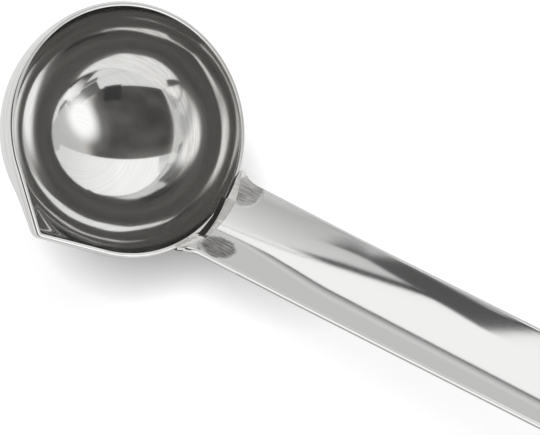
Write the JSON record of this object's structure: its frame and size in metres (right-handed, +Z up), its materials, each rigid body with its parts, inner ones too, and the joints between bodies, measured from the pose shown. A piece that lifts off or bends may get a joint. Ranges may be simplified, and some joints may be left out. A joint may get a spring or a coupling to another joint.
{
  "type": "soup ladle",
  "caption": "Deep stainless soup ladle: half-round bowl with a flat lip and a side pouring spout, welded to a wide strip handle with an arched end and a hanging slot.",
  "frame": {"origin": "centre of the bounding box at table level; the ladle lies on the bowl's round bottom and the two corners of the handle's end", "axes": "+X along the handle from the bowl to its end, +Z up from the table, -Y towards the pouring spout"},
  "size_m": [0.3478, 0.0966, 0.0763],
  "materials": {
    "bowl_steel": "stainless steel, mirror polished inside, finely polished outside, ground lip",
    "handle_steel": "stainless steel, fine satin polish along the strip",
    "weld_steel": "stainless steel weld metal, ground flat"
  },
  "bodies": {
    "root": {"bowl": "bowl_steel", "handle": "handle_steel", "seam_weld": "weld_steel", "root_weld": "weld_steel"}
  },
  "joints": []
}
